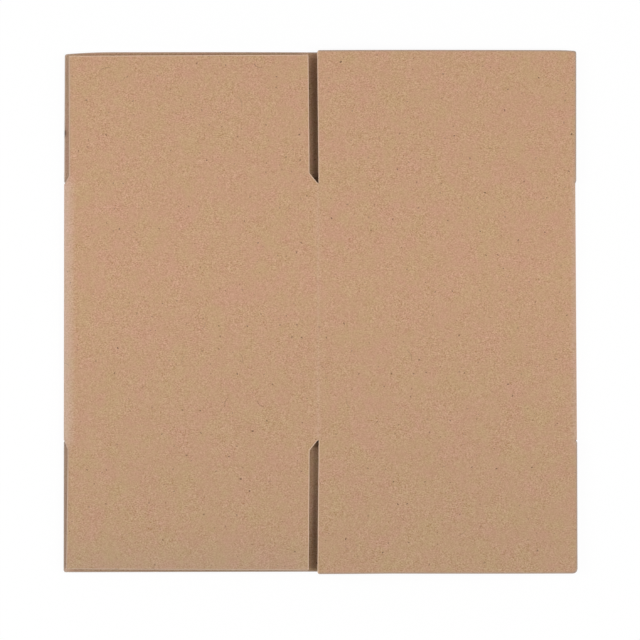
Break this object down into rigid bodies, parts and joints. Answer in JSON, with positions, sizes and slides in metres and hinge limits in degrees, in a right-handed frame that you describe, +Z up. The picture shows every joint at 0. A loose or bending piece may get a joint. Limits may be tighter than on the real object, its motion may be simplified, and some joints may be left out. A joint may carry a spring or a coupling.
{
  "type": "flat-packed cardboard box",
  "caption": "Plain brown corrugated shipping carton, folded flat and lying on its glued seam, with the upper flaps free to swing up on their scores.",
  "frame": {"origin": "on the ground, under the middle of the flat pack", "axes": "+Z up, +X across the two upper wall panels to the major panel's side, +Y along the flutes towards the carton's top flaps"},
  "size_m": [0.3156, 0.3216, 0.0115],
  "materials": {
    "kraft_board": "matte uncoated brown kraft"
  },
  "bodies": {
    "blank": {"folded_blank": "kraft_board"},
    "minor_top": {"minor_flap_top": "kraft_board"},
    "major_top": {"major_flap_top": "kraft_board"},
    "minor_bottom": {"minor_flap_bottom": "kraft_board"},
    "major_bottom": {"major_flap_bottom": "kraft_board"}
  },
  "joints": [
    {"name": "minor_top_score", "type": "hinge", "parent": "blank", "child": "minor_top", "pos_m": [-0.001, 0.0789, 0.0115], "axis": [0.9998, 0, 0.0208], "range_deg": [0, 170]},
    {"name": "major_top_score", "type": "hinge", "parent": "blank", "child": "major_top", "pos_m": [-0.001, 0.0819, 0.0115], "axis": [0.9995, 0, -0.033], "range_deg": [0, 170]},
    {"name": "minor_bottom_score", "type": "hinge", "parent": "blank", "child": "minor_bottom", "pos_m": [-0.001, -0.0789, 0.0115], "axis": [-0.9998, 0, -0.0208], "range_deg": [0, 170]},
    {"name": "major_bottom_score", "type": "hinge", "parent": "blank", "child": "major_bottom", "pos_m": [-0.001, -0.0819, 0.0115], "axis": [-0.9995, 0, 0.033], "range_deg": [0, 170]}
  ]
}
